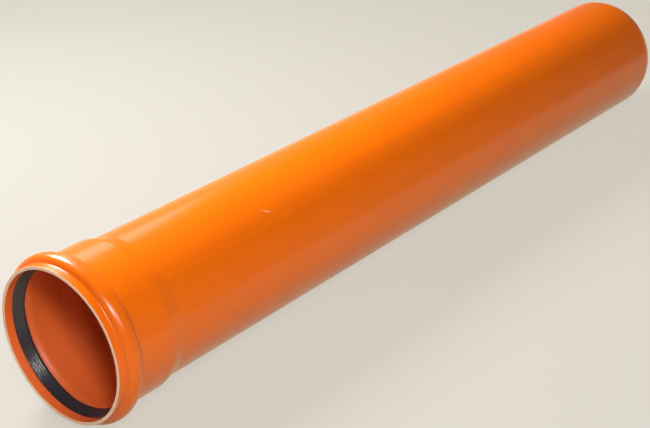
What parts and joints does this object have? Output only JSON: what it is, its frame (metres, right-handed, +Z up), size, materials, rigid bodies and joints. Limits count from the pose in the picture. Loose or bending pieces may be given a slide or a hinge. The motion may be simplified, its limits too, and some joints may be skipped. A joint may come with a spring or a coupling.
{
  "type": "plastic sewer pipe",
  "caption": "Straight round PVC-U drain pipe with a chamfered spigot, a belled push-fit socket with a formed bead, and a rubber lip seal in the bead's groove.",
  "frame": {"origin": "on the pipe's axis, at the plane in the socket where the end of the next pipe's spigot is seated, 80 mm inside the mouth face", "axes": "+X along the pipe's axis from the socket to the spigot, Z up as the pipe lies; the mouth face is at X = -0.08 and the spigot's end face at X = +1.0"},
  "size_m": [1.08, 0.1832, 0.1832],
  "materials": {
    "orange_pvc": "satin",
    "seal_rubber": "matte"
  },
  "bodies": {
    "root": {"pipe": "orange_pvc", "seal_ring": "seal_rubber"}
  },
  "joints": []
}
